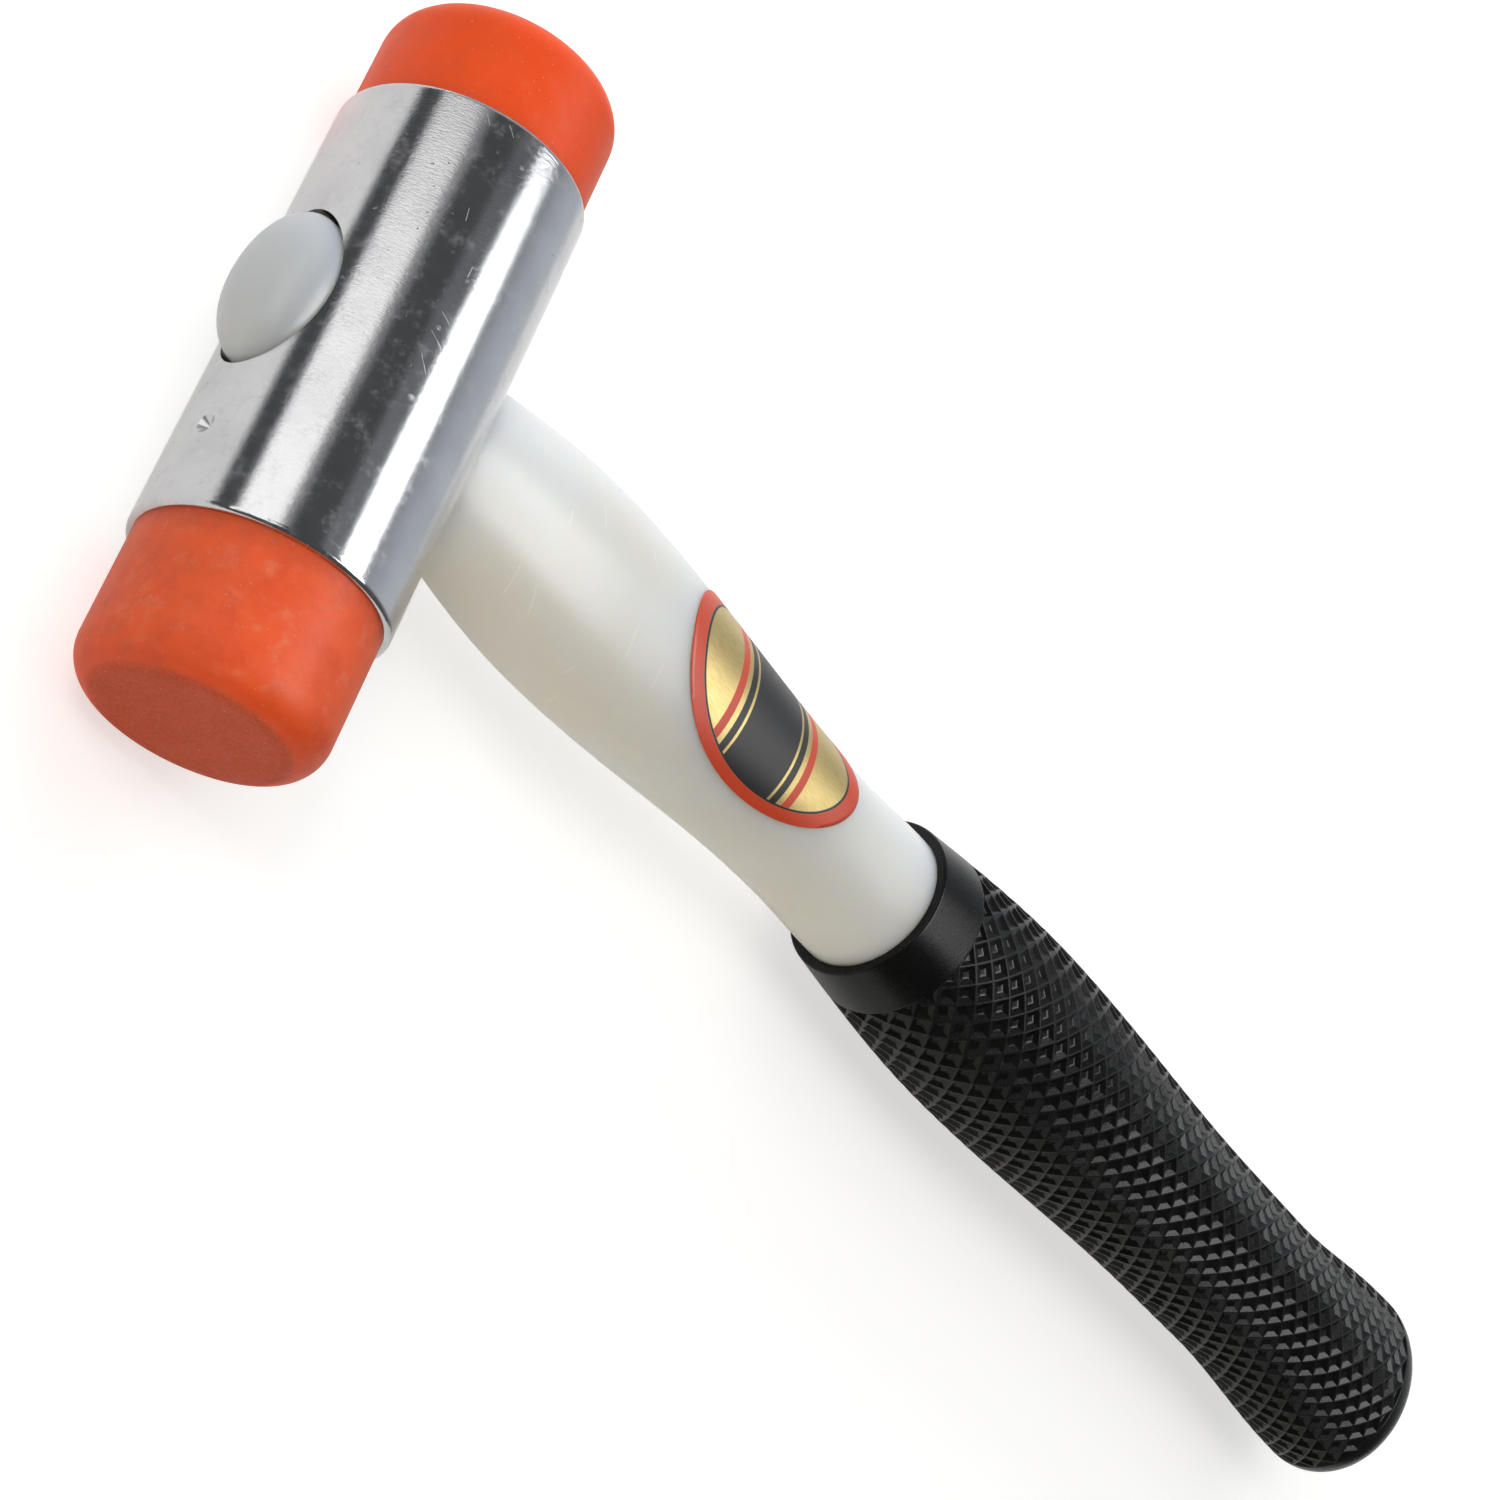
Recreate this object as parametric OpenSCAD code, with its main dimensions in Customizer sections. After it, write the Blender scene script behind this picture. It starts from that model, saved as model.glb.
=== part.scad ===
// Soft face hammer lying on its side: +X runs along the handle from the head to the grip,
// the head's axis runs along Y with the front face at -Y, and +Z is up from the surface it lies on.

/* [Head] */
// Outside diameter of the steel barrel
barrel_d = 34; // [31:0.5:40]
// Length of the barrel between its two flat ends
barrel_l = 64.6; // [62:0.2:76]
// Rounding of the barrel's end edges
barrel_edge_r = 0.8; // [0.4:0.1:1.2]
// Gap between the eye and the tenon along its sides
eye_gap = 0.35; // [0.2:0.05:0.6]
// Gap between the eye and the tenon at its two ends
eye_end_gap = 0.6; // [0.4:0.1:1.2]
// Diameter of the drilled mark on top of the barrel
mark_d = 2.8; // [1.5:0.1:4]
// Depth of the drilled mark's cone
mark_depth = 1.2; // [0.6:0.1:2]
// Distance of the drilled mark from the middle of the barrel, towards the front face
mark_y = 20.7; // [16:0.1:25]

/* [Faces] */
// Diameter of a striking face
face_d = 32.2; // [28:0.2:33]
// Length that the front face stands out of the barrel
face_l = 19.8; // [15:0.1:26]
// Length that the rear face stands out of the barrel
rear_face_l = 16.6; // [15:0.1:26]
// Rounding of the striking edge
face_edge_r = 5; // [2:0.5:7]
// Diameter of the stud moulded into a face
stud_d = 12; // [8:0.5:14]
// Chamfer on the tip of the stud
stud_chamfer = 1.2; // [0.5:0.1:2]
// Length of the stud's neck, from the barrel's end to its flange
stud_neck_l = 4; // [2:0.5:6]
// Diameter of the flange that holds the stud in the face
stud_flange_d = 20; // [16:0.5:24]
// Thickness of that flange
stud_flange_t = 3; // [2:0.5:5]

/* [Handle] */
// Length of the oval tenon, measured along the head
tenon_l = 22.4; // [18:0.2:26]
// Width of the oval tenon, measured across the head
tenon_w = 15.2; // [12:0.2:20]
// Height of the tenon's domed end above the barrel
tenon_proud = 4.4; // [1:0.2:6]
// Height of the dome itself
tenon_dome_h = 7.6; // [5:0.2:10]
// Width of the shoulder that seats on the barrel round the eye
shoulder_w = 0.9; // [0.8:0.1:2]
// Length of the belly's oval, measured along the head
belly_l = 30.6; // [26:0.2:36]
// Width of the belly's oval, measured across the head
belly_w = 22.8; // [20:0.2:28]
// Distance of the belly from the head's axis
belly_x = 46; // [36:0.5:56]
// Diameter of the waist below the belly
waist_d = 22.4; // [20:0.2:24]
// Distance of the waist from the head's axis
waist_x = 106; // [90:0.5:114]
// Diameter of the handle inside the grip
core_d = 23.4; // [20:0.2:24.4]
// Rounding of the handle's hidden end
core_edge_r = 3; // [1:0.5:6]
// Diameter of the spring pin that locks the tenon in the eye
pin_d = 5; // [3:0.5:6]
// Wall of the spring pin
pin_wall = 1; // [0.6:0.1:1.4]
// Width of the slot along the spring pin
pin_slot = 1; // [0.5:0.1:1.5]
// Length of the spring pin held in the barrel at each side of the eye
pin_hold = 4.5; // [3:0.5:5]

/* [Grip] */
// Distance of the grip's rim from the head's axis
rim_x = 122.5; // [116:0.5:130]
// Outside diameter of the rim
rim_d = 26.6; // [25.6:0.2:29]
// Rounding of the rim's outer edge
rim_edge_r = 0.5; // [0.2:0.1:1]
// Largest diameter of the hand swell
swell_d = 32.4; // [29:0.2:36]
// Distance of the hand swell from the head's axis
swell_x = 163; // [150:0.5:180]
// Diameter of the grip's own waist
grip_waist_d = 28.9; // [27:0.2:32]
// Distance of the start of that waist from the head's axis
grip_waist_x = 228; // [210:0.5:240]
// Length of that waist
grip_waist_l = 19.5; // [5:0.5:28]
// Largest diameter of the oval butt, measured along the head
butt_d = 35; // [31:0.5:38]
// Smallest diameter of the oval butt, measured across the head
butt_small_d = 29; // [27:0.5:35]
// Distance of the butt's largest oval from the head's axis
butt_x = 286.5; // [275:0.5:300]
// Height of the butt's domed end
butt_dome_h = 11.5; // [4:0.5:16]
// Thickness of the grip behind the handle's end
butt_wall = 12; // [6:0.5:16]

/* [Label] */
// Length of the oval label, along the handle
label_l = 43; // [30:0.5:48]
// Width of the oval label, round the handle
label_w = 26; // [16:0.5:30]
// Distance of the label's middle from the head's axis
label_x = 79.4; // [74:0.2:86]
// Angle of the label's middle from the top, towards the rear face
label_turn = 16; // [-30:1:30]
// Thickness of the label's foil
label_t = 0.16; // [0.1:0.02:0.4]

/* [Hidden] */

// Clearances of the stud in its socket and in its face, the shoulder on the barrel,
// the grip and the label on the handle, and the pin in its hole
thread_gap = 0.08;
mould_gap = 0.05;
saddle_gap = 0.15;
grip_gap = 0.08;
label_gap = 0.1;
pin_gap = 0.05;
// Room below the stud's tip, from there to the pin's end, and behind the handle's hidden end
socket_room = 1.5;
pin_room = 1.5;
butt_room = 0.4;
// Overrun that takes every cut clear through its faces
overrun = 1;

// Steps along and round the formed surfaces
oval_sides = 48;
dome_steps = 6;
flare_steps = 10;
taper_steps = 12;
rim_steps = 4;
edge_steps = 4;
grip_steps = 9;
butt_steps = 10;
label_sides = 64;
label_rings = 8;
$fn = 96;

barrel_r = barrel_d / 2;
face_r = face_d / 2;
core_r = core_d / 2;
bore_r = core_r + grip_gap;
rim_r = rim_d / 2;
rim_side_x = rim_x + rim_edge_r;
saddle_r = barrel_r + saddle_gap;
// The pin fits between the two sockets, so the studs take the length that it leaves them
pin_l = tenon_l + 2 * eye_end_gap + 2 * pin_hold;
socket_depth = (barrel_l - pin_l) / 2 - pin_room;
stud_l = socket_depth - socket_room;
tenon_end_x = -(barrel_r + tenon_proud);
grip_end_x = butt_x + butt_dome_h;
core_end_x = grip_end_x - butt_wall - butt_room;
grip_waist_end_x = grip_waist_x + grip_waist_l;
lift = max(barrel_d, butt_small_d, swell_d) / 2;
shift = -(tenon_end_x + grip_end_x) / 2;
sway = (face_l - rear_face_l) / 2;

function mix(from, to, t) = from + (to - from) * t;
function ease(t) = (1 - cos(180 * t)) / 2;
function steps(from, to, count) = [for (i = [1:count]) mix(from, to, i / count)];

// Half length and half width of the handle's oval at a distance x from the head's axis
function handle_half(x, neck, belly) =
    x < belly_x ? mix(neck, belly, sin(90 * (x - barrel_r) / (belly_x - barrel_r)))
    : x < waist_x ? mix(belly, waist_d / 2, ease((x - belly_x) / (waist_x - belly_x)))
    : x < rim_x ? mix(waist_d / 2, core_r, ease((x - waist_x) / (rim_x - waist_x)))
    : core_r;
function handle_oval(x) = [handle_half(x, tenon_l / 2 + shoulder_w, belly_l / 2),
                           handle_half(x, tenon_w / 2 + shoulder_w, belly_w / 2)];

// How far the barrel's round side falls back from its lowest line at a height z
function fall(z) = saddle_r - sqrt(max(saddle_r * saddle_r - z * z, 0));

// One ring of the handle or grip: an oval at x, bent by the share given to lie on the barrel
function ring(x, half, bend_share) =
    [for (i = [0:oval_sides - 1])
        let (a = 360 * i / oval_sides, z = half[1] * sin(a))
        [x - bend_share * fall(z), half[0] * cos(a), z]];

function bend_share(x) = pow(max(1 - (x - saddle_r) / (belly_x - saddle_r), 0), 2);
function dome_rings() =
    [for (i = [1:dome_steps])
        let (a = 90 * i / dome_steps)
        ring(tenon_end_x + tenon_dome_h * (1 - cos(a)), [tenon_l / 2 * sin(a), tenon_w / 2 * sin(a)], 0)];
function shaft_rings() =
    [for (x = concat([saddle_r], steps(saddle_r, belly_x, flare_steps),
                     steps(belly_x, waist_x, taper_steps), steps(waist_x, rim_x, rim_steps)))
        ring(x, handle_oval(x), bend_share(x))];
function end_rings() =
    [for (i = [0:edge_steps])
        let (a = 90 * i / edge_steps, r = core_r - core_edge_r * (1 - cos(a)))
        ring(core_end_x - core_edge_r * (1 - sin(a)), [r, r], 0)];

// Closed solid through a list of rings of equal count, with a point at each end
module loft(rings, first, last) {
    n = len(rings[0]);
    m = len(rings);
    points = concat([first], [for (r = rings) for (p = r) p], [last]);
    tip = len(points) - 1;
    polyhedron(points, concat(
        [for (i = [0:n - 1]) [0, 1 + i, 1 + (i + 1) % n]],
        [for (k = [0:m - 2]) for (i = [0:n - 1]) let (j = (i + 1) % n, b = 1 + k * n, t = b + n) each
            [[b + i, t + i, t + j], [b + i, t + j, b + j]]],
        [for (i = [0:n - 1]) [tip, tip - n + (i + 1) % n, tip - n + i]]));
}

// Flat oval of the eye: the tenon's, grown by the gaps at its sides and ends
module eye_oval() {
    polygon([for (i = [0:2 * oval_sides - 1])
        let (a = 180 * i / oval_sides)
        [(tenon_w / 2 + eye_gap) * sin(a), (tenon_l / 2 + eye_end_gap) * cos(a)]]);
}

// Everything stands in the part's frame: middle of both lengths, on the surface below
module seated() {
    translate([shift, sway, lift]) children();
}

// Turns a shape drawn along +Z from the barrel's end to point out of the front (-1) or rear (+1) end
module at_end(side) {
    translate([0, side * barrel_l / 2, 0]) rotate([-90 * side, 0, 0]) children();
}

// Revolved bar along +Z, rounded at the edge of its far end or of both ends
module rounded_bar(r, l, edge_r, both = false) {
    start = both ? edge_r : 0;
    rotate_extrude() {
        square([r - edge_r, l]);
        translate([0, start]) square([r, l - edge_r - start]);
        for (y = both ? [edge_r, l - edge_r] : [l - edge_r])
            translate([r - edge_r, y]) circle(edge_r);
    }
}

module head() {
    color("silver") seated() difference() {
        at_end(1) translate([0, 0, -barrel_l]) rounded_bar(barrel_r, barrel_l, barrel_edge_r, both = true);
        for (side = [-1, 1]) at_end(side) translate([0, 0, -socket_depth])
            cylinder(h = socket_depth + overrun, d = stud_d + 2 * thread_gap);
        rotate([90, 0, 0]) cylinder(h = barrel_l, d = pin_d + 2 * pin_gap, center = true);
        rotate([0, 90, 0]) linear_extrude(barrel_d + 2 * overrun, center = true) eye_oval();
        translate([-barrel_r, -mark_y, 0]) rotate([0, 90, 0]) {
            cylinder(h = mark_depth, d1 = mark_d, d2 = 0);
            translate([0, 0, -overrun]) cylinder(h = overrun, d = mark_d);
        }
    }
}

module handle() {
    tenon = [tenon_l / 2, tenon_w / 2];
    color("ivory") seated() difference() {
        loft(concat(dome_rings(), [ring(saddle_r, tenon, 1)], shaft_rings(), end_rings()),
             [tenon_end_x, 0, 0], [core_end_x, 0, 0]);
        rotate([90, 0, 0]) cylinder(h = belly_l, d = pin_d + 2 * pin_gap, center = true);
    }
}

// Half width and half height of the grip's outside at a distance x from the head's axis
function grip_half(x, butt) =
    x < swell_x ? mix(rim_r, swell_d / 2, sin(90 * (x - rim_side_x) / (swell_x - rim_side_x)))
    : x < grip_waist_x ? mix(swell_d / 2, grip_waist_d / 2, ease((x - swell_x) / (grip_waist_x - swell_x)))
    : x < grip_waist_end_x ? grip_waist_d / 2
    : mix(grip_waist_d / 2, butt, ease((x - grip_waist_end_x) / (butt_x - grip_waist_end_x)));
function grip_oval(x) = [grip_half(x, butt_d / 2), grip_half(x, butt_small_d / 2)];

function rim_rings() =
    [for (i = [0:edge_steps])
        let (a = 90 * i / edge_steps, r = rim_r - rim_edge_r * (1 - sin(a)))
        ring(rim_side_x - rim_edge_r * cos(a), [r, r], 0)];
function side_rings() =
    [for (x = concat(steps(rim_side_x, swell_x, grip_steps), steps(swell_x, grip_waist_x, grip_steps),
                     [grip_waist_end_x], steps(grip_waist_end_x, butt_x, grip_steps)))
        ring(x, grip_oval(x), 0)];
function butt_rings() =
    [for (i = [1:butt_steps - 1])
        let (a = 90 * i / butt_steps)
        ring(butt_x + butt_dome_h * sin(a), grip_oval(butt_x) * cos(a), 0)];

// The grip's skin runs out of the blind bore, round the rim and along the outside to the butt
module grip() {
    bore_end_x = core_end_x + butt_room;
    bore = [for (x = [bore_end_x, rim_x]) ring(x, [bore_r, bore_r], 0)];
    color("dimgray") seated() loft(concat(bore, rim_rings(), side_rings(), butt_rings()),
                                   [bore_end_x, 0, 0], [grip_end_x, 0, 0]);
}

module handle_lock_pin() {
    color("gray") seated() rotate([90, 0, 0]) difference() {
        cylinder(h = pin_l, d = pin_d, center = true);
        cylinder(h = pin_l + overrun, d = pin_d - 2 * pin_wall, center = true);
        translate([0, -pin_slot / 2, -pin_l]) cube([pin_d, pin_slot, 2 * pin_l]);
    }
}

// The stud's outline turned about +Z, its seat at zero, grown by a gap where it is a mould's cavity
module stud_shape(gap) {
    r = stud_d / 2 + gap;
    flange_r = stud_flange_d / 2 + gap;
    flange_z = [stud_neck_l - gap, stud_neck_l + stud_flange_t + gap];
    rotate_extrude() polygon([[0, -stud_l], [r - stud_chamfer, -stud_l], [r, stud_chamfer - stud_l],
                              [r, flange_z[0]], [flange_r, flange_z[0]],
                              [flange_r, flange_z[1]], [0, flange_z[1]]]);
}

module face(side) {
    color("orangered") seated() at_end(side) difference() {
        rounded_bar(face_r, side < 0 ? face_l : rear_face_l, face_edge_r);
        stud_shape(mould_gap);
    }
}

module face_stud(side) {
    color("lightsteelblue") seated() at_end(side) stud_shape(0);
}

module front_face() { face(-1); }
module rear_face() { face(1); }
module front_face_stud() { face_stud(-1); }
module rear_face_stud() { face_stud(1); }

// A point of the label: share_out runs from its middle (0) to its edge (1), turn goes round it
function label_point(share_out, turn, stand) =
    let (x = label_x + share_out * label_l / 2 * cos(turn),
         half = handle_oval(x),
         a = 90 - label_turn + share_out * label_w / 2 * sin(turn) / ((half[0] + half[1]) / 2) * 180 / PI)
    [x, (half[0] + stand) * cos(a), (half[1] + stand) * sin(a)];

module label() {
    outside = label_gap + label_t;
    rings = concat(
        [for (k = [1:label_rings]) [for (i = [0:label_sides - 1])
            label_point(k / label_rings, 360 * i / label_sides, outside)]],
        [for (k = [label_rings:-1:1]) [for (i = [0:label_sides - 1])
            label_point(k / label_rings, 360 * i / label_sides, label_gap)]]);
    color("goldenrod") seated() loft(rings, label_point(0, 0, outside), label_point(0, 0, label_gap));
}

head();
handle();
grip();
handle_lock_pin();
front_face();
rear_face();
front_face_stud();
rear_face_stud();
label();
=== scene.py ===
import math
import bmesh
import bpy
from mathutils import Matrix, Vector


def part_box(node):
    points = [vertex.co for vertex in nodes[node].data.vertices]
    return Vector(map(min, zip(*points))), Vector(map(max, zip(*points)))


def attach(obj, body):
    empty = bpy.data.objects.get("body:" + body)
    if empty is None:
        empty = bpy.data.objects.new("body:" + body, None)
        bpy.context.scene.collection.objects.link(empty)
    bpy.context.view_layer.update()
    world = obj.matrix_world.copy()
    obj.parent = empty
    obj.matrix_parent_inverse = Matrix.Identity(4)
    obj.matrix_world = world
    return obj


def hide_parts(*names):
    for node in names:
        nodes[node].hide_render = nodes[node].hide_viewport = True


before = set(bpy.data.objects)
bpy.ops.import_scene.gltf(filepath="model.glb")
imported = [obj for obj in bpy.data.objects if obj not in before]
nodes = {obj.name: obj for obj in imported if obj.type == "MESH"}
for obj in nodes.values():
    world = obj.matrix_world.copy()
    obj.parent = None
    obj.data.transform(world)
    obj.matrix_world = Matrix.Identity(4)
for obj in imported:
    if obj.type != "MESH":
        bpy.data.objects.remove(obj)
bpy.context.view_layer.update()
mm = 0.001
fullTurn, quarterTurn = 2 * math.pi, math.pi / 2
headLow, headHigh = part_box("head")
headX = (headLow.x + headHigh.x) / 2  # the head's axis runs along Y through here
headY = (headLow.y + headHigh.y) / 2
axisZ = (headLow.z + headHigh.z) / 2
smallestMark = 0.3  # the least scratch or spot, as a share of the full size
print("frame loaded:", len(nodes), "nodes")


class Wire:  # one socket of a node tree; sums on wires add Math nodes
    def __init__(self, tree, socket=None):
        self.tree, self.socket = tree, socket

    def node(self, kind, settings=None, inputs=None, out=0):
        made = self.tree.nodes.new(kind)
        for key, value in (settings or {}).items():
            setattr(made, key, value)
        for key, value in (inputs or {}).items():
            if isinstance(value, Wire):
                self.tree.links.new(value.socket, made.inputs[key])
            else:
                made.inputs[key].default_value = value
        return Wire(self.tree, made.outputs[out])

    def other(self, out):  # another output of the same node
        return Wire(self.tree, self.socket.node.outputs[out])

    def sums(self, kind, *values):
        return self.node("ShaderNodeMath", {"operation": kind}, dict(enumerate(values)))

    def __add__(self, value):
        return self.sums("ADD", self, value)

    def __sub__(self, value):
        return self.sums("SUBTRACT", self, value)

    def __rsub__(self, value):
        return self.sums("SUBTRACT", value, self)

    def __mul__(self, value):
        return self.sums("MULTIPLY", self, value)

    def __truediv__(self, value):
        return self.sums("DIVIDE", self, value)

    def __abs__(self):
        return self.sums("ABSOLUTE", self)

    __radd__, __rmul__ = __add__, __mul__

    def length(self, value):  # across a right angle with these two legs
        return self.sums("SQRT", self * self + value * value)

    def ramp(self, low, high, start=0.0, end=1.0):  # smooth step from low to high
        return self.node("ShaderNodeMapRange", {"interpolation_type": "SMOOTHSTEP"},
                         {0: self, 1: low, 2: high, 3: start, 4: end})

    def fall(self, low, high):  # smooth step down
        return self.ramp(low, high, 1.0, 0.0)

    def within(self, low, high, edge):  # 1 between two limits, with soft edges
        return self.ramp(low, low + edge) * self.fall(high, high + edge)

    def noise(self, place, scales, detail, rough=0.5):  # place: three wires or numbers, each with its scale
        spread = (p * scale for p, scale in zip(place, scales))
        point = self.node("ShaderNodeCombineXYZ", None, dict(enumerate(spread)))
        return self.node("ShaderNodeTexNoise", None,
                         {"Vector": point, "Scale": 1.0, "Detail": detail, "Roughness": rough})

    def cells(self, u, v, size, share):  # scattered places, a share of which is chosen
        place = self.node("ShaderNodeCombineXYZ", None, {0: u / size, 1: v / size, 2: 0.0})
        near = self.node("ShaderNodeTexVoronoi", {"voronoi_dimensions": "2D"},
                         {"Vector": place, "Scale": 1.0})
        spot = self.node("ShaderNodeSeparateXYZ", None, {0: near.other("Position")})
        lot = self.node("ShaderNodeSeparateColor", None, {0: near.other("Color")})  # three random shares
        off = (u - spot * size, v - spot.other(1) * size)  # millimetres off the nearest place
        grown = lot.other(2) * (1 - smallestMark) + smallestMark
        return off, lot, grown, lot.sums("LESS_THAN", lot.other(1), share)

    def dashes(self, u, v, size, long, thin, share, turn, spread):  # short straight scratches
        (du, dv), lot, grown, chosen = self.cells(u, v, size, share)
        angle = turn + spread * (lot - 0.5)
        cosine, sine = self.sums("COSINE", angle), self.sums("SINE", angle)
        along, across = du * cosine + dv * sine, dv * cosine - du * sine
        stroke = abs(across).fall(thin * 0.5, thin)
        return stroke * (abs(along) / (grown * long)).fall(0.6, 1.0) * chosen

    def spots(self, u, v, size, wide, share):  # small round marks
        (du, dv), lot, grown, chosen = self.cells(u, v, size, share)
        return (du.length(dv) / (grown * wide)).fall(0.5, 1.0) * chosen

    def colours(self, first, second):  # a colour mixed by this wire
        return self.node("ShaderNodeMix", {"data_type": "RGBA"},
                         {0: self, 6: asColour(first), 7: asColour(second)}, out=2)


def asColour(value):
    return value if isinstance(value, Wire) else (*value, 1)


def weigh(shares, **fields):  # the sum of the named fields, each by its share
    first, *rest = (field * shares[key] for key, field in fields.items())
    return sum(rest, first)


def startMaterial(name):  # the material and its place along X, Y and Z in millimetres from the head's axis
    material = bpy.data.materials.new(name)
    material.use_nodes = True
    tree = material.node_tree
    tree.nodes.clear()
    start = Wire(tree)
    coords = start.node("ShaderNodeTexCoord", out="Object")
    centred = start.node("ShaderNodeMapping", {"vector_type": "POINT"}, {
        "Vector": coords, "Location": [-v / mm for v in (headX, headY, axisZ)], "Scale": (1 / mm,) * 3})
    split = start.node("ShaderNodeSeparateXYZ", None, {0: centred})
    return material, split, split.other(1), split.other(2)


def endMaterial(material, shader):
    output = material.node_tree.nodes.new("ShaderNodeOutputMaterial")
    material.node_tree.links.new(shader.socket, output.inputs["Surface"])
    return material


def endSurface(material, bumpSet, height, sockets):  # bumpSet: strength, and depth in millimetres
    start = Wire(material.node_tree)
    strength, deep = bumpSet
    bump = start.node("ShaderNodeBump", None, {"Strength": strength, "Distance": deep * mm, "Height": height})
    return endMaterial(material, start.node("ShaderNodeBsdfPrincipled", None, {**sockets, "Normal": bump}))


def at(x, y, z):  # millimetres from the middle of the head to metres in the frame
    return Vector((headX + x * mm, headY + y * mm, axisZ + z * mm))


def skin(name, rings, first, last, smoothTo):  # a surface through rings of equal count, to a tip if given
    count = len(rings[0])
    points = [p for ring in rings for p in ring]
    faces = [(k + i, k + (i + 1) % count, k + count + (i + 1) % count, k + count + i)
             for k in range(0, len(points) - count, count) for i in range(count)]
    for tip, k in ((first, 0), (last, len(points) - count)):
        if tip is not None:
            faces += [(len(points), k + i, k + (i + 1) % count) for i in range(count)]
            points.append(tip)
    mesh = bpy.data.meshes.new(name)
    mesh.from_pydata(points, [], faces)
    return closeUp(mesh, smoothTo)


def closeUp(mesh, smoothTo):  # outward faces, smooth but for the edges sharper than the angle
    shell = bmesh.new()
    shell.from_mesh(mesh)
    bmesh.ops.recalc_face_normals(shell, faces=shell.faces)
    shell.to_mesh(mesh)
    shell.free()
    mesh.shade_smooth()
    mesh.set_sharp_from_angle(angle=math.radians(smoothTo))
    return mesh


def ovals(profile, count):  # rings round the handle's axis from its place and two halves
    turns = [fullTurn * i / count for i in range(count)]
    return [[at(x, wide * math.cos(a), high * math.sin(a)) for a in turns] for x, wide, high in profile]


def paint(mesh, material):
    mesh.materials.clear()
    mesh.materials.append(material)


def addObject(name, data):
    made = bpy.data.objects.new(name, data)
    bpy.context.scene.collection.objects.link(made)
    return made


def addPiece(name, mesh, material, body, slotName, *stoodFor):
    paint(mesh, material)
    piece = addObject(name, mesh)
    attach(piece, body)
    if stoodFor:
        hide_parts(*stoodFor)


def mix(start, end, t):
    return start + (end - start) * t


def ease(t):
    return (1 - math.cos(math.pi * t)) / 2


def clamp(t):
    return max(0.0, min(1.0, t))


headSet = {"barrelR": 17.0, "endY": 32.3, "markY": -20.7, "markEdge": (1.2, 1.5)}  # mm, as in the frame

platedLook = {
    "zinc": (0.60, 0.605, 0.62), "dull": (0.54, 0.54, 0.56), "pit": (0.25, 0.25, 0.26),
    "spot": (0.74, 0.75, 0.78),
    # noises: scales per millimetre, detail and roughness; a third scale over a flat sheet picks its layer
    "hair": ((6.0, 1.1, 0.0), 3.0, 0.55), "fuzz": ((3.4, 1.2, 4.0), 4.0, 0.7),
    "lines": ((2.2, 0.10, 7.0), 5.0, 0.7),
    "cloud": ((0.13,) * 3, 3.0), "bloom": ((0.35,) * 3, 4.0, 0.7), "pits": ((1.3,) * 3, 1.0),
    # where on its noise each starts and is full
    "dullFrom": (0.35, 0.7), "blotFrom": (0.4, 0.6), "bloomFrom": (0.5, 0.75), "pitFrom": (0.765, 0.8),
    "lineFrom": (0.38, 0.78),
    "crownFrom": (1.55, 1.8), "crownTo": (2.05, 2.3),  # radians round the barrel
    "blots": {"size": 3.4, "wide": 0.8, "share": 0.35},
    "strokes": {"size": 3.1, "long": 1.9, "thin": 0.045, "share": 0.16, "turn": 0.3, "spread": 1.6},
    "blotted": (0.2, 0.3), "stroked": (0.1, 0.9),  # everywhere, and more on the crown
    "smooth": 0.06, "metalLost": 0.15,
    "rough": {"lines": 0.10, "marks": 0.3, "bloom": 0.09, "drilled": 0.2},
    "high": {"hair": 0.3, "fuzz": 0.6, "lines": 0.25, "pits": -0.5, "strokes": -0.4}, "bump": (0.5, 0.05)}


def makePlatedSteel():
    look = platedLook
    material, x, y, z = startMaterial("platedSteel")
    turn = z.sums("ARCTAN2", z, x)
    around = turn * headSet["barrelR"]  # millimetres round the barrel
    hair, fuzz, lines = (x.noise((y, around, 1.0), *look[key]) for key in ("hair", "fuzz", "lines"))
    cloud, bloom, pits = (x.noise((x, y, z), *look[key]) for key in ("cloud", "bloom", "pits"))
    bloom = bloom.ramp(*look["bloomFrom"])  # dull patches in the plating
    pits = pits.ramp(*look["pitFrom"])
    crown = turn.ramp(*look["crownFrom"]) * turn.fall(*look["crownTo"])  # the worn strip along the upper side
    blots = x.spots(y, around, **look["blots"]) * cloud.ramp(*look["blotFrom"])
    strokes = x.dashes(y, around, **look["strokes"]) * (look["stroked"][0] + look["stroked"][1] * crown)
    marks = strokes.sums("MAXIMUM", strokes, blots * (look["blotted"][0] + look["blotted"][1] * crown))
    tone = cloud.ramp(*look["dullFrom"]).colours(look["zinc"], look["dull"])
    colour = marks.colours(pits.colours(tone, look["pit"]), look["spot"])
    drilled = (y - headSet["markY"]).length(z).fall(*headSet["markEdge"])  # the mark is left as drilled
    drawn = lines.ramp(*look["lineFrom"])
    rough = weigh(look["rough"], lines=drawn, marks=marks, bloom=bloom, drilled=drilled)
    height = weigh(look["high"], hair=hair, fuzz=fuzz, lines=lines, pits=pits, strokes=strokes)
    return endSurface(material, look["bump"], height, {
        "Base Color": colour, "Metallic": 1 - look["metalLost"] * bloom, "Roughness": look["smooth"] + rough})


bareLook = {"light": (0.46, 0.46, 0.47), "dark": (0.34, 0.335, 0.33), "lines": ((5.0, 0.3, 0.3), 3.0),
            "darkFrom": (0.35, 0.7), "smooth": 0.22, "drawn": 0.2, "bump": (0.3, 0.02)}


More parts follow.
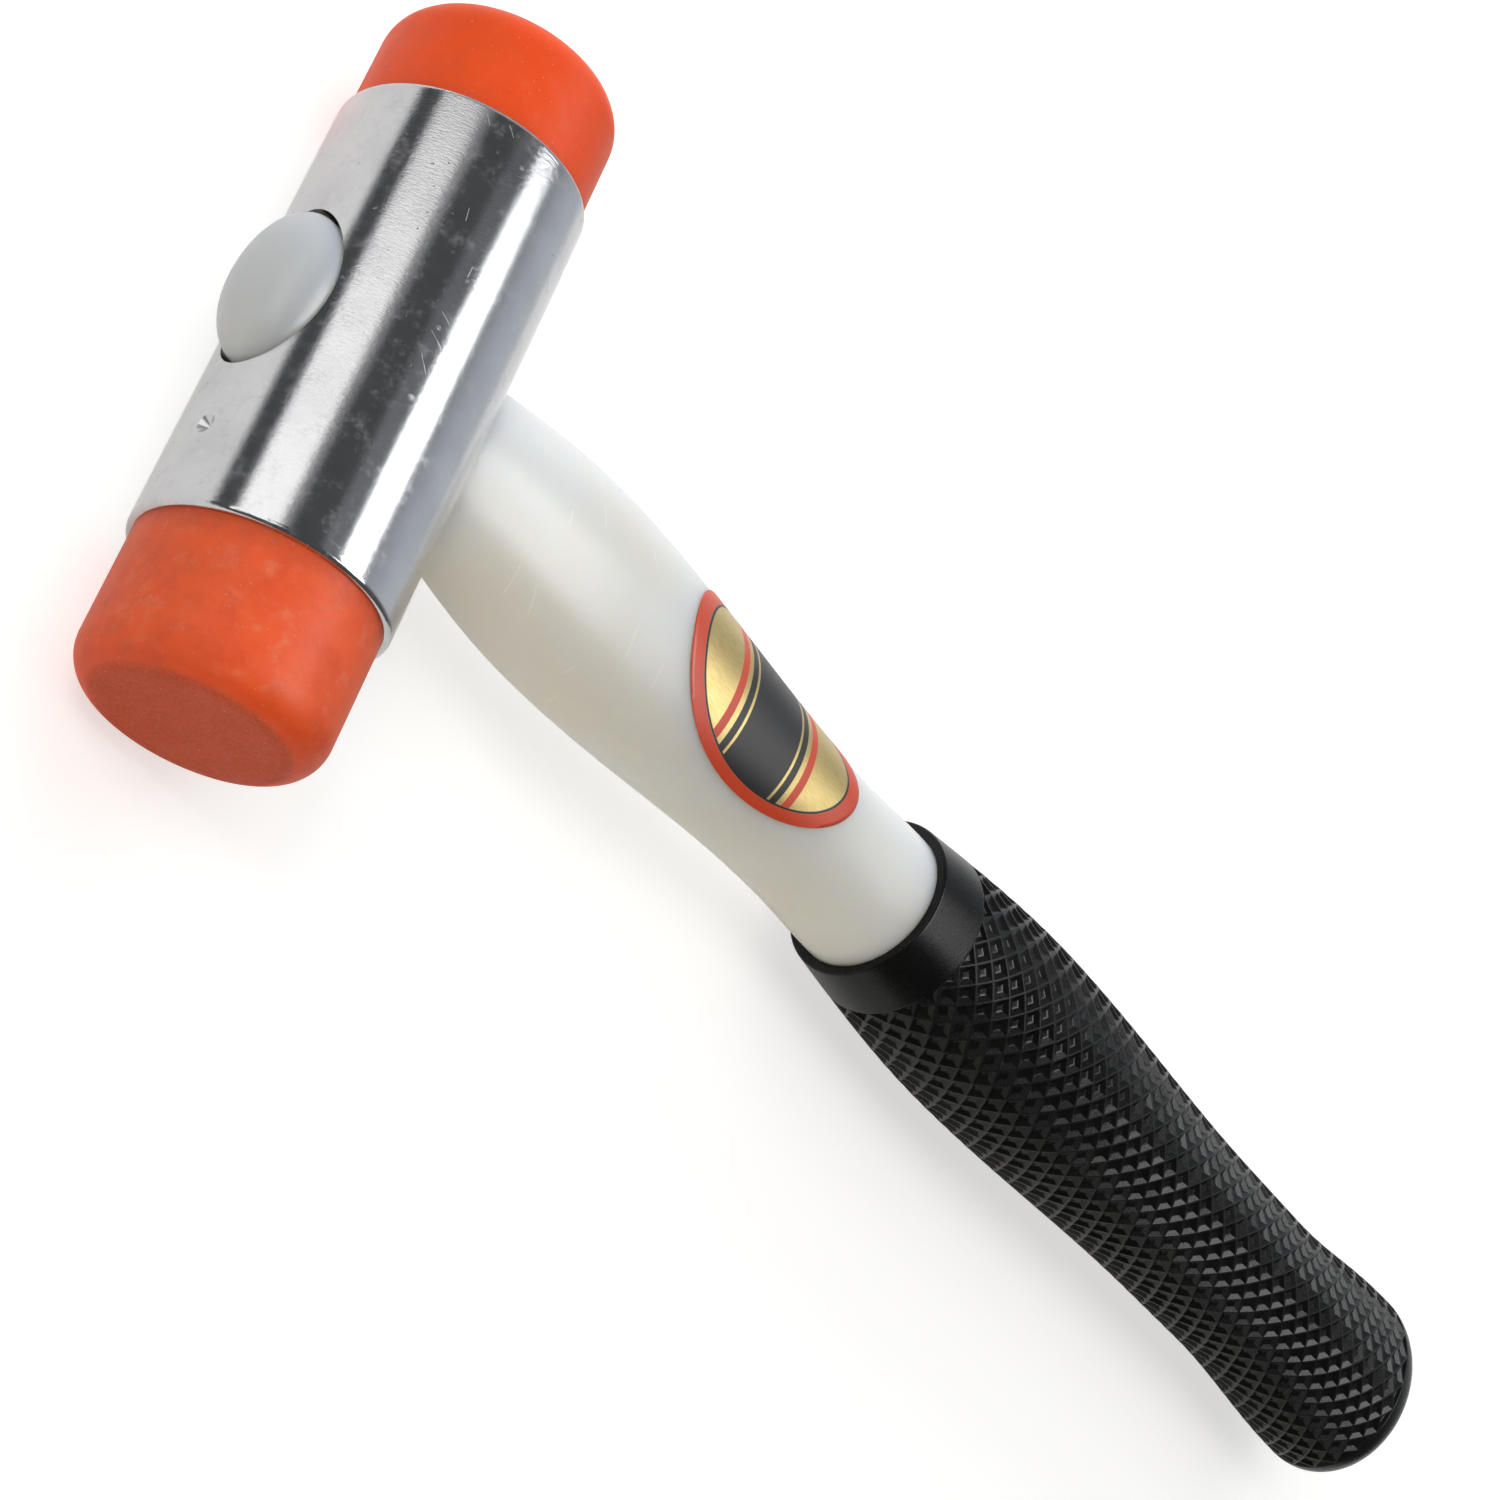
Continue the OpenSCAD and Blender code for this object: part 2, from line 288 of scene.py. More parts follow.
def makeBareSteel():
    look = bareLook
    material, x, y, z = startMaterial("bareSteel")
    lines = x.noise((y, z, x), *look["lines"])
    colour = lines.ramp(*look["darkFrom"]).colours(look["light"], look["dark"])
    return endSurface(material, look["bump"], lines, {
        "Base Color": colour, "Metallic": 1.0, "Roughness": look["smooth"] + look["drawn"] * lines})


paint(nodes["head"].data, makePlatedSteel())
bareSteel = makeBareSteel()
paint(nodes["handle_lock_pin"].data, bareSteel)
print("head done")


faceLook = {
    "bright": (0.90, 0.115, 0.026), "deep": (0.76, 0.080, 0.018), "dust": (0.84, 0.26, 0.155),
    "roundingShadeTone": (0.72, 0.068, 0.010), "dirt": (0.40, 0.040, 0.012), "leftShade": (0.46, 0.085, 0.04),
    "worn": (0.40, 0.052, 0.017), "wornPale": (0.55, 0.090, 0.040), "speck": (0.88, 0.46, 0.32),
    "dusty": 0.36, "roundingShade": 0.6, "dirty": 0.4, "leftShadeShare": 0.6, "endWear": 0.85, "specked": 0.4,  # their shares
    "endY": 52.1, "flatFrom": (0.7, 0.1), "roundingShadeFrom": (2.4, 1.0),  # millimetres, the last two before the end
    "dirtWide": 4.0, "leftShadeX": (-6.0, -15.0),
    "cloud": ((0.11,) * 3, 3.0), "grain": ((1.9,) * 3, 3.0, 0.6), "powder": ((0.35,) * 3, 4.0, 0.7),
    "specks": ((2.7,) * 3, 1.0), "mottle": ((0.3,) * 3, 4.0, 0.65), "mottleZ": 30.0,
    "cloudFrom": (0.4, 0.7), "mottleFrom": (0.42, 0.72), "deepShares": {"cloud": 0.5, "mottle": 0.5},
    "grainFrom": (0.35, 0.65), "paleFrom": (0.4, 0.65), "paleShares": {"grain": 0.7, "mottle": 0.3},
    "dustFrom": (0.5, 0.7), "dirtFrom": (0.35, 0.65, 0.35, 1.0), "leftShadeFrom": (0.3, 0.8, 0.6, 1.0),
    "speckFrom": (0.74, 0.78), "roughFrom": (0.4, 0.7),
    "smooth": 0.42, "rough": {"flat": 0.14, "powder": 0.12},
    "sideGrain": 0.35, "flatGrain": 1.2, "high": {"cloud": 1.5, "specks": 0.6}, "bump": (0.4, 0.1),
    "scatter": 0.12, "scatterDeep": (0.004, 0.0012, 0.0005), "gloss": 0.2}
rearLook = dict(faceLook, bright=(0.90, 0.078, 0.004), deep=(0.85, 0.072, 0.004), dusty=0.1, leftShadeShare=0.35,
                endY=48.9, dirty=0.25, dirtWide=2.0)


def makeFacePlastic(name, look):
    material, x, y, z = startMaterial(name)
    far = abs(y)
    flat = far.ramp(*(look["endY"] - v for v in look["flatFrom"]))
    roundingShade = far.ramp(*(look["endY"] - v for v in look["roundingShadeFrom"])) * (1 - flat)  # the rounding by the flat, painted darker as shade
    joint = far.fall(headSet["endY"], headSet["endY"] + look["dirtWide"])
    cloud, grain, powder = (x.noise((x, y, z), *look[key]) for key in ("cloud", "grain", "powder"))
    specks = x.noise((x, y, z), *look["specks"]).ramp(*look["speckFrom"])
    mottle = x.noise((x, y, z + look["mottleZ"]), *look["mottle"])
    deep = weigh(look["deepShares"],
                 cloud=cloud.ramp(*look["cloudFrom"]), mottle=mottle.ramp(*look["mottleFrom"]))
    side = deep.colours(look["bright"], look["deep"])
    side = (powder.ramp(*look["dustFrom"]) * look["dusty"]).colours(side, look["dust"])
    side = (roundingShade * look["roundingShade"]).colours(side, look["roundingShadeTone"])
    side = (joint * powder.ramp(*look["dirtFrom"]) * look["dirty"]).colours(side, look["dirt"])
    # painted shade: both faces darker and duller towards the −X side, broken up by the mottle
    leftShade = x.ramp(*look["leftShadeX"]) * mottle.ramp(*look["leftShadeFrom"]) * look["leftShadeShare"]
    side = leftShade.colours(side, look["leftShade"])
    pale = weigh(look["paleShares"],
                 grain=grain.ramp(*look["grainFrom"]), mottle=mottle.ramp(*look["paleFrom"]))
    colour = (flat * look["endWear"]).colours(side, pale.colours(look["worn"], look["wornPale"]))
    colour = (specks * look["specked"]).colours(colour, look["speck"])
    rough = look["smooth"] + weigh(look["rough"], flat=flat, powder=powder.ramp(*look["roughFrom"]))
    height = grain * (look["sideGrain"] + look["flatGrain"] * flat)
    height = height + weigh(look["high"], cloud=cloud, specks=specks)
    return endSurface(material, look["bump"], height, {
        "Base Color": colour, "Roughness": rough, "Specular IOR Level": look["gloss"],
        "Subsurface Weight": look["scatter"], "Subsurface Radius": look["scatterDeep"],
        "Subsurface Scale": 1.0})


paint(nodes["front_face"].data, makeFacePlastic("frontFacePlastic", faceLook))
paint(nodes["rear_face"].data, makeFacePlastic("rearFacePlastic", rearLook))


studSet = {"radius": 6.0, "length": 13.0, "neck": 4.0, "chamfer": 1.2, "flangeR": 10.0, "flangeT": 3.0,
           "pitch": 1.75, "threadDeep": 0.95, "slope": 2.5, "land": 0.125, "plain": 1.2,
           "sides": 48, "perTurn": 12, "smoothTo": 30}


def threadRadius(out, turn):  # at a distance out of the head and a share of a turn
    s = studSet
    phase = (out / s["pitch"] + turn) % 1.0
    groove = clamp(abs(phase - 0.5) * s["slope"] - s["land"])  # trapezoid thread
    fade = clamp((s["neck"] - s["plain"] - out) / s["pitch"])
    r = s["radius"] - s["threadDeep"] * groove * fade
    return min(r, s["radius"] - s["chamfer"] + (out + s["length"]))


def makeStud(name, side):
    s = studSet
    top, bottom = s["neck"], -s["length"]
    count = round((top - bottom) / s["pitch"] * s["perTurn"])
    turns = [i / s["sides"] for i in range(s["sides"])]
    levels = [mix(bottom, top, k / count) for k in range(count + 1)]
    profile = [(out, [threadRadius(out, turn) for turn in turns]) for out in levels]
    profile += [(out, [s["flangeR"]] * s["sides"]) for out in (top, top + s["flangeT"])]
    rings = [[at(r * math.cos(fullTurn * turn), side * (headSet["endY"] + out), r * math.sin(fullTurn * turn))
              for turn, r in zip(turns, radii)] for out, radii in profile]
    tips = (at(0, side * (headSet["endY"] + out), 0) for out in (bottom, top + s["flangeT"]))
    return skin(name, rings, *tips, s["smoothTo"])


for name, side in (("front", -1), ("rear", 1)):
    addPiece(name + "ThreadedStud", makeStud(name + "ThreadedStud", side), bareSteel,
             name + "_face", "bare_steel", name + "_face_stud")
print("faces and studs done")


handleSet = {"tenonL": 22.4, "tenonW": 15.2, "proud": 4.4, "domeH": 5.6, "domeFull": 0.8, "shoulder": 0.9,
             "saddleR": 17.15, "bellyL": 30.6, "bellyW": 22.8, "bellyX": 46.0, "waistD": 22.4,
             "waistX": 106.0, "coreD": 23.4, "rimX": 122.5, "underGrip": 4.0, "endX": 285.6, "endR": 3.0,
             "sides": 128, "domeSteps": 16, "shaftSteps": 110, "endSteps": 6, "smoothTo": 35}


def handleHalf(x, neck, belly):
    h = handleSet
    waist, core, barrelR = h["waistD"] / 2, h["coreD"] / 2, headSet["barrelR"]
    if x < h["bellyX"]:
        return mix(neck, belly, math.sin(quarterTurn * (x - barrelR) / (h["bellyX"] - barrelR)))
    if x < h["waistX"]:
        return mix(belly, waist, ease((x - h["bellyX"]) / (h["waistX"] - h["bellyX"])))
    if x < h["rimX"]:
        return mix(waist, core, ease((x - h["waistX"]) / (h["rimX"] - h["waistX"])))
    return core


def handleOval(x):
    h = handleSet
    return (handleHalf(x, h["tenonL"] / 2 + h["shoulder"], h["bellyL"] / 2),
            handleHalf(x, h["tenonW"] / 2 + h["shoulder"], h["bellyW"] / 2))


def handleRing(x, half, bend):  # an oval, bent by a share to lie on the barrel
    h = handleSet
    ring = []
    for i in range(h["sides"]):
        a = fullTurn * i / h["sides"]
        z = half[1] * math.sin(a)
        fall = h["saddleR"] - math.sqrt(max(h["saddleR"] ** 2 - z * z, 0))
        ring.append(at(x - bend * fall, half[0] * math.cos(a), z))
    return ring


def makeHandle():
    h = handleSet
    tip = -(headSet["barrelR"] + h["proud"])
    tenon = (h["tenonL"] / 2, h["tenonW"] / 2)
    rings = []
    for i in range(1, h["domeSteps"] + 1):
        a = quarterTurn * i / h["domeSteps"]
        half = [v * math.sin(a) ** h["domeFull"] for v in tenon]
        rings.append(handleRing(tip + h["domeH"] * (1 - math.cos(a)), half, 0))
    rings.append(handleRing(h["saddleR"], tenon, 1))
    for i in range(h["shaftSteps"] + 1):
        x = mix(h["saddleR"], h["rimX"] + h["underGrip"], i / h["shaftSteps"])
        bend = max(1 - (x - h["saddleR"]) / (h["bellyX"] - h["saddleR"]), 0) ** 2
        rings.append(handleRing(x, handleOval(x), bend))
    for i in range(h["endSteps"] + 1):
        a = quarterTurn * i / h["endSteps"]
        r = h["coreD"] / 2 - h["endR"] * (1 - math.cos(a))
        rings.append(handleRing(h["endX"] - h["endR"] * (1 - math.sin(a)), (r, r), 0))
    return skin("mouldedHandle", rings, at(tip, 0, 0), at(h["endX"], 0, 0), h["smoothTo"])


handleLook = {
    "milk": (0.73, 0.75, 0.755), "cream": (0.725, 0.72, 0.68), "scratch": (0.86, 0.86, 0.85),
    # end: the dome beyond the barrel, a darker, cooler grey that is painted shade
    "end": (0.485, 0.512, 0.545), "scratched": 0.5, "meanR": 13.0,
    "cloud": ((0.05, 0.08, 0.08), 3.0), "grain": ((1.5,) * 3, 3.0, 0.6),
    "scuffs": ((0.5, 0.5, 6.0), 4.0, 0.75),
    "creamFrom": (0.3, 0.75), "scuffFrom": (0.66, 0.8), "endX": (-14.0, -17.0),
    "strokes": {"size": 6.5, "long": 3.4, "thin": 0.16, "share": 0.4, "turn": 1.2, "spread": 0.8},
    "strokeX": ((62.0, 56.0), (24.0, 30.0)),
    "smooth": 0.30, "rough": {"grain": 0.10, "scuffs": 0.18, "strokes": 0.15},
    "high": {"grain": 0.4, "cloud": 2.0, "strokes": -0.8, "scuffs": -0.5}, "bump": (0.2, 0.05),
    "scatter": 0.85, "scatterDeep": (0.014, 0.012, 0.008), "gloss": 0.5}


def makeHandlePlastic():
    look = handleLook
    material, x, y, z = startMaterial("handlePlastic")
    around = y.sums("ARCTAN2", z, y) * look["meanR"]
    cloud, grain = (x.noise((x, y, z), *look[key]) for key in ("cloud", "grain"))
    scuffs = x.noise((x, around, 1.0), *look["scuffs"]).ramp(*look["scuffFrom"])
    upTo, after = look["strokeX"]
    strokes = x.dashes(x, around, **look["strokes"]) * x.ramp(*upTo) * x.ramp(*after)
    colour = cloud.ramp(*look["creamFrom"]).colours(look["milk"], look["cream"])
    # painted shade: the tenon's dome is darker and cooler than the rest of the handle
    colour = x.ramp(*look["endX"]).colours(colour, look["end"])
    colour = (strokes * look["scratched"]).colours(colour, look["scratch"])
    rough = look["smooth"] + weigh(look["rough"], grain=grain, scuffs=scuffs, strokes=strokes)
    height = weigh(look["high"], grain=grain, cloud=cloud, strokes=strokes, scuffs=scuffs)
    return endSurface(material, look["bump"], height, {
        "Base Color": colour, "Roughness": rough, "Specular IOR Level": look["gloss"],
        "Subsurface Weight": look["scatter"], "Subsurface Radius": look["scatterDeep"],
        "Subsurface Scale": 1.0})


addPiece("mouldedHandle", makeHandle(), makeHandlePlastic(), "hammer", "handle_plastic", "handle")
print("handle done")


gripSet = {"rimX": handleSet["rimX"], "rimR": 13.3, "rimEdge": 0.5, "swellX": 163.0, "swellR": 16.2,
           "waistX": 228.0, "waistEndX": 247.5, "waistR": 14.45, "buttX": 286.5, "buttWide": 17.5,
           "buttHigh": 14.5, "domeH": 11.5, "boreR": 11.78, "boreEdge": 0.15, "boreEndX": 286.0,
           "netX": 132.2, "netEndX": 286.0, "starts": 22, "cellArea": 68.0,  # the chequering
           "deep": 0.58, "ridgeShare": 0.90, "wallShare": 0.45, "wallDepth": 0.92, "floorShare": 0.6,
           "uneven": 0.2, "seed": 7, "lip": 0.14, "lipRound": 0.3, "under": 0.5,
           "sides": 132, "collarSteps": 14, "rimSteps": 6, "sideSteps": 8, "domeSteps": 28, "smoothTo": 35}


def gripHalf(x, butt):
    g = gripSet
    start = g["rimX"] + g["rimEdge"]
    if x < g["swellX"]:
        return mix(g["rimR"], g["swellR"], math.sin(quarterTurn * (x - start) / (g["swellX"] - start)))
    if x < g["waistX"]:
        return mix(g["swellR"], g["waistR"], ease((x - g["swellX"]) / (g["waistX"] - g["swellX"])))
    if x < g["waistEndX"]:
        return g["waistR"]
    if x < g["buttX"]:
        return mix(g["waistR"], butt, ease((x - g["waistEndX"]) / (g["buttX"] - g["waistEndX"])))
    return butt * math.sqrt(max(1 - ((x - g["buttX"]) / g["domeH"]) ** 2, 0))


def gripOval(x, less=0.0):  # half width and half height, less a depth
    return gripHalf(x, gripSet["buttWide"]) - less, gripHalf(x, gripSet["buttHigh"]) - less


def makeNet():  # diamonds between two crossing sets of ridges, on the ridge tops
    g = gripSet
    rows = [g["netX"]]
    while rows[-1] < g["netEndX"]:
        rows.append(rows[-1] + g["cellArea"] / sum(gripOval(rows[-1])))
    stretch = (g["netEndX"] - g["netX"]) / (rows[-1] - g["netX"])
    rows = [g["netX"] + (x - g["netX"]) * stretch for x in rows]
    n = g["starts"]
    points, faces = [], []
    for k, x in enumerate(rows):
        wide, high = gripOval(x)
        for i in range(n):
            a = fullTurn * (i + (k % 2) / 2) / n  # every other row is half a diamond on
            points.append(at(x, wide * math.cos(a), high * math.sin(a)))
    last = len(rows) - 1
    for k in range(last + 1):
        for i in range(n):
            right, left = ((i, i - 1) if k % 2 == 0 else (i + 1, i))
            right, left = right % n, left % n
            if k + 2 <= last:
                faces.append((k * n + i, (k + 1) * n + right, (k + 2) * n + i, (k + 1) * n + left))
            if k == 1:  # half diamonds close the first and last rows
                faces.append((k * n + i, i, (i + 1) % n))
            if k == last - 1:
                faces.append((k * n + i, last * n + right, last * n + left))
    mesh = bpy.data.meshes.new("gripNet")
    mesh.from_pydata(points, [], faces)
    shell = bmesh.new()
    shell.from_mesh(mesh)
    for face in shell.faces:
        out = face.calc_center_median() - at(0, 0, 0)
        if face.normal.y * out.y + face.normal.z * out.z < 0:
            face.normal_flip()
    shell.to_mesh(mesh)
    shell.free()
    return mesh


def chequerTree(inputs):  # inputs: names and kinds of the tree's sockets after the net itself
    tree = bpy.data.node_groups.new("gripChequer", "GeometryNodeTree")
    keys = {}
    for label, kind in (("Net", "Geometry"), *inputs):
        socket = tree.interface.new_socket(label, in_out="INPUT", socket_type="NodeSocket" + kind)
        keys[label] = socket.identifier
    tree.interface.new_socket("Chequering", in_out="OUTPUT", socket_type="NodeSocketGeometry")
    start = Wire(tree)
    given = start.node("NodeGroupInput")
    uneven = start.node("FunctionNodeRandomValue", {"data_type": "FLOAT"}, {
        "Min": 1 - given.other("Uneven"), "Max": 1.0, "Seed": given.other("Seed")}, out=1)
    inward, wallDepth = given.other("Depth") * -1.0, given.other("Wall depth")

    def sink(mesh, chosen, offset, share):  # each chosen face moved along its normal, then shrunk
        only = {"Selection": chosen} if chosen else {}
        moved = start.node("GeometryNodeExtrudeMesh", {"mode": "FACES"}, {
            "Mesh": mesh, "Offset Scale": offset, "Individual": True, **only})
        shrunk = start.node("GeometryNodeScaleElements", {"domain": "FACE"}, {
            "Geometry": moved, "Selection": moved.other("Top"), "Scale": given.other(share)})
        return shrunk, moved.other("Top"), moved.other("Side")

    ridges, openings, tops = sink(given.other("Net"), None, 0.0, "Ridge share")
    walls, floors = sink(ridges, openings, inward * wallDepth * uneven, "Wall share")[:2]
    pits = sink(walls, floors, inward * (1 - wallDepth), "Floor share")[0]
    worn = start.node("GeometryNodeStoreNamedAttribute", {"data_type": "FLOAT", "domain": "FACE"}, {
        "Geometry": pits, "Name": "worn", "Value": tops})
    whole = start.node("GeometryNodeRealizeInstances", None, {"Geometry": worn})
    painted = start.node("GeometryNodeSetMaterial", None, {
        "Geometry": whole, "Material": given.other("Rubber")})
    output = tree.nodes.new("NodeGroupOutput")
    tree.links.new(painted.socket, output.inputs[0])
    return tree, keys


def makeChequering(rubber):
    g = gripSet
    carrier = addObject("gripNet", makeNet())
    inputs = (("Depth", "Float", g["deep"] * mm), ("Ridge share", "Float", g["ridgeShare"]),
              ("Wall share", "Float", g["wallShare"]), ("Wall depth", "Float", g["wallDepth"]),
              ("Floor share", "Float", g["floorShare"]), ("Uneven", "Float", g["uneven"]),
              ("Seed", "Int", g["seed"]), ("Rubber", "Material", rubber))
    tree, keys = chequerTree([(label, kind) for label, kind, value in inputs])
    pattern = carrier.modifiers.new("chequer", "NODES")
    pattern.node_group = tree
    for label, kind, value in inputs:
        pattern[keys[label]] = value
    view = bpy.context.evaluated_depsgraph_get()
    made = bpy.data.meshes.new_from_object(carrier.evaluated_get(view))
    carrier.modifiers.remove(pattern)
    bpy.data.objects.remove(carrier)
    return made


def netEdge(x, way):  # rings from below the pits, over a rounded lip and on to the smooth part
    g = gripSet
    lip, turned = g["lip"], g["lip"] * g["lipRound"]
    return [(x, *gripOval(x, g["deep"] + g["under"])), (x, *gripOval(x, lip)),
            (x + way * turned, *gripOval(x, turned)), (x + way * lip, *gripOval(x + way * lip))]


def makeGripShell():  # smooth collar, bore and butt either side of the chequering
    g = gripSet
    start, end = g["netX"] - g["lip"] * 2, g["netEndX"] + g["lip"] * 2
    side, steps = g["rimX"] + g["rimEdge"], g["collarSteps"]
    collar = netEdge(g["netX"], -1)
    collar += [(x, *gripOval(x)) for x in (mix(start, side, i / steps) for i in range(steps + 1))]
    for i in range(1, g["rimSteps"] + 1):
        a = quarterTurn * i / g["rimSteps"]
        r = g["rimR"] - g["rimEdge"] * (1 - math.cos(a))
        collar.append((side - g["rimEdge"] * math.sin(a), r, r))
    for x, r in ((g["rimX"], g["boreR"] + g["boreEdge"]), (g["rimX"] + g["boreEdge"], g["boreR"]),
                 (g["boreEndX"], g["boreR"])):
        collar.append((x, r, r))
    inner = skin("gripCollar", ovals(collar, g["sides"]), None, at(g["boreEndX"], 0, 0), g["smoothTo"])
    butt, steps = netEdge(g["netEndX"], 1), g["sideSteps"]
    if end < g["buttX"]:
        butt += [(x, *gripOval(x)) for x in (mix(end, g["buttX"], i / steps) for i in range(steps))]
    first = math.asin(max((end - g["buttX"]) / g["domeH"], 0.0))
    for i in range(g["domeSteps"]):
        a = mix(first, quarterTurn, i / g["domeSteps"])
        x = g["buttX"] + g["domeH"] * math.sin(a)
        butt.append((x, g["buttWide"] * math.cos(a), g["buttHigh"] * math.cos(a)))
    tip = at(g["buttX"] + g["domeH"], 0, 0)
    return inner, skin("gripButt", ovals(butt, g["sides"]), None, tip, g["smoothTo"])


rubberLook = {"black": (0.0030, 0.0030, 0.0030), "grey": (0.0055, 0.0054, 0.0052),
              "worn": (0.012, 0.012, 0.012), "cloud": ((0.09, 0.15, 0.15), 3.0),
              "grain": ((3.2,) * 3, 3.0, 0.65), "greyFrom": (0.3, 0.75), "wornFrom": (0.3, 0.7),
              "smooth": 0.19, "rough": {"grain": 0.14, "top": 0.06}, "bump": (0.3, 0.08), "gloss": 0.18}


def makeGripRubber():
    look = rubberLook
    material, x, y, z = startMaterial("gripRubber")
    cloud, grain = (x.noise((x, y, z), *look[key]) for key in ("cloud", "grain"))
    top = x.node("ShaderNodeAttribute", {"attribute_type": "GEOMETRY", "attribute_name": "worn"}, out="Fac")
    colour = cloud.ramp(*look["greyFrom"]).colours(look["black"], look["grey"])
    colour = (top * grain.ramp(*look["wornFrom"])).colours(colour, look["worn"])
    rough = look["smooth"] + weigh(look["rough"], grain=grain, top=top)
    return endSurface(material, look["bump"], grain, {
        "Base Color": colour, "Roughness": rough, "Specular IOR Level": look["gloss"]})


def makeGrip():
    rubber = makeGripRubber()
    shell = bmesh.new()
    for part in (makeChequering(rubber), *makeGripShell()):
        shell.from_mesh(part)
    mesh = bpy.data.meshes.new("chequeredGrip")
    shell.to_mesh(mesh)
    shell.free()
    addPiece("chequeredGrip", mesh, rubber, "hammer", "grip_rubber", "grip")
    print("grip done:", len(mesh.polygons), "faces")


makeGrip()


labelSet = {"length": 43.0, "width": 26.0, "x": 79.4, "turn": 16.0, "under": 0.1, "over": 0.26,
            "edge": 0.06, "edgeShare": 0.003, "sides": 96, "rings": 28, "smoothTo": 50}


def labelPoint(share, turn, stand):  # at a share of the way out from the label's middle
    s = labelSet
    x = s["x"] + share * s["length"] / 2 * math.cos(turn)
    half = handleOval(x)
    a = math.radians(90 - s["turn"]) + share * s["width"] / 2 * math.sin(turn) / ((half[0] + half[1]) / 2)
    return at(x, (half[0] + stand) * math.cos(a), (half[1] + stand) * math.sin(a))


def makeLabel():
    s = labelSet
    rounds = [fullTurn * i / s["sides"] for i in range(s["sides"])]
    shares = [(k + 1) / s["rings"] for k in range(s["rings"] - 1)]
    levels = [(share, s["over"]) for share in shares]
    levels += [(1.0 - s["edgeShare"], s["over"]), (1.0, s["over"] - s["edge"]), (1.0, s["under"])]
    levels += [(share, s["under"]) for share in reversed(shares)]
    rings = [[labelPoint(share, turn, stand) for turn in rounds] for share, stand in levels]
    tips = (labelPoint(0, 0, s["over"]), labelPoint(0, 0, s["under"]))
    mesh = skin("foilLabel", rings, *tips, s["smoothTo"])
    flat = [(0.5 + share / 2 * math.cos(turn), 0.5 + share / 2 * math.sin(turn))
            for share, stand in levels for turn in rounds] + [(0.5, 0.5)] * len(tips)
    sheet = mesh.uv_layers.new(name="labelFlat")
    for loop in mesh.loops:
        sheet.data[loop.index].uv = flat[loop.vertex_index]
    return mesh


foilLook = {"gold": (0.60, 0.43, 0.15), "goldPale": (0.70, 0.56, 0.27), "rim": (0.62, 0.055, 0.012),
            "black": (0.012, 0.011, 0.011), "brushed": ((0.5, 9.0, 0.0), 3.0),
            "rub": ((0.6, 0.6, 3.0), 4.0, 0.7), "paleFrom": (0.3, 0.7),
            "band": 7.4, "pin": (5.6, 6.1), "stripe": (8.4, 9.9), "edge": 0.1,  # millimetres from the middle
            "field": 0.845, "line": 0.868, "rimEdge": 0.007,  # shares of the way out
            "metal": 0.95, "smooth": 0.26, "rough": {"rub": 0.12, "ink": 0.06},
            "inkHigh": 0.4, "bump": (0.2, 0.04)}


def makeLabelFoil():
    look = foilLook
    material, x, y, z = startMaterial("labelFoil")
    place = x.node("ShaderNodeUVMap", {"uv_map": "labelFlat"})
    split = x.node("ShaderNodeSeparateXYZ", None, {0: place})
    along = (split - 0.5) * labelSet["length"]  # millimetres along the label
    across = (split.other(1) - 0.5) * labelSet["width"]
    out = (along * (2 / labelSet["length"])).length(across * (2 / labelSet["width"]))
    brushed, rub = (x.noise((along, across, 1.0), *look[key]) for key in ("brushed", "rub"))
    reach = abs(along)
    pin, stripe = (reach.within(*look[key], look["edge"]) for key in ("pin", "stripe"))
    field = out.fall(look["field"], look["field"] + look["rimEdge"])
    line = out.within(look["field"], look["line"], look["rimEdge"])
    band = reach.fall(look["band"], look["band"] + look["edge"])
    black = field * band * (1 - pin) + line
    red = field * stripe + out.ramp(look["line"], look["line"] + look["rimEdge"])
    ink = black + red
    gold = brushed.ramp(*look["paleFrom"]).colours(look["gold"], look["goldPale"])
    colour = red.colours(black.colours(gold, look["black"]), look["rim"])
    rough = look["smooth"] + weigh(look["rough"], rub=rub, ink=ink)
    return endSurface(material, look["bump"], rub + ink * look["inkHigh"], {
        "Base Color": colour, "Metallic": (1 - ink) * look["metal"], "Roughness": rough})


addPiece("foilLabel", makeLabel(), makeLabelFoil(), "hammer", "label_foil", "label")
print("label done")


def seenShare(start, mirrored):  # 1 for what the camera sees straight, a share for what shine and glass show
    rays = start.node("ShaderNodeLightPath")
    passedOn = rays.other("Is Glossy Ray") + rays.other("Is Transmission Ray")
    return rays.other("Is Camera Ray") + passedOn * mirrored


floorSet = {"x": (-0.1487, 1.24), "y": (-0.9, 0.9),  # metres, x from the head's axis
            "paper": (0.93, 0.925, 0.91), "fibreShade": 0.99, "fibre": ((0.8, 0.8, 0.0), 3.0),
            "fibreFrom": (0.2, 0.8), "shown": 0.30, "mirrored": 0.36, "white": 2.0}


def makeFloor():
    look = floorSet
    (x0, x1), (y0, y1) = (headX + v for v in look["x"]), look["y"]
    mesh = bpy.data.meshes.new("floor")
    mesh.from_pydata([(x0, y0, 0), (x1, y0, 0), (x1, y1, 0), (x0, y1, 0)], [], [(0, 1, 2, 3)])
    material, x, y, z = startMaterial("floorPaper")
    fibre = x.noise((x, y, 1.0), *look["fibre"]).ramp(*look["fibreFrom"])
    shaded = [c * look["fibreShade"] for c in look["paper"]]
    paper = x.node("ShaderNodeBsdfDiffuse", None, {"Color": fibre.colours(look["paper"], shaded)})
    glow = x.node("ShaderNodeEmission", None, {"Color": (1, 1, 1, 1), "Strength": look["white"]})
    seen = seenShare(x, look["mirrored"])
    share = seen.sums("MINIMUM", seen, 1.0) * look["shown"]
    paint(mesh, endMaterial(material, x.node("ShaderNodeMixShader", None, {0: share, 1: paper, 2: glow})))
    floor = addObject("floor", mesh)


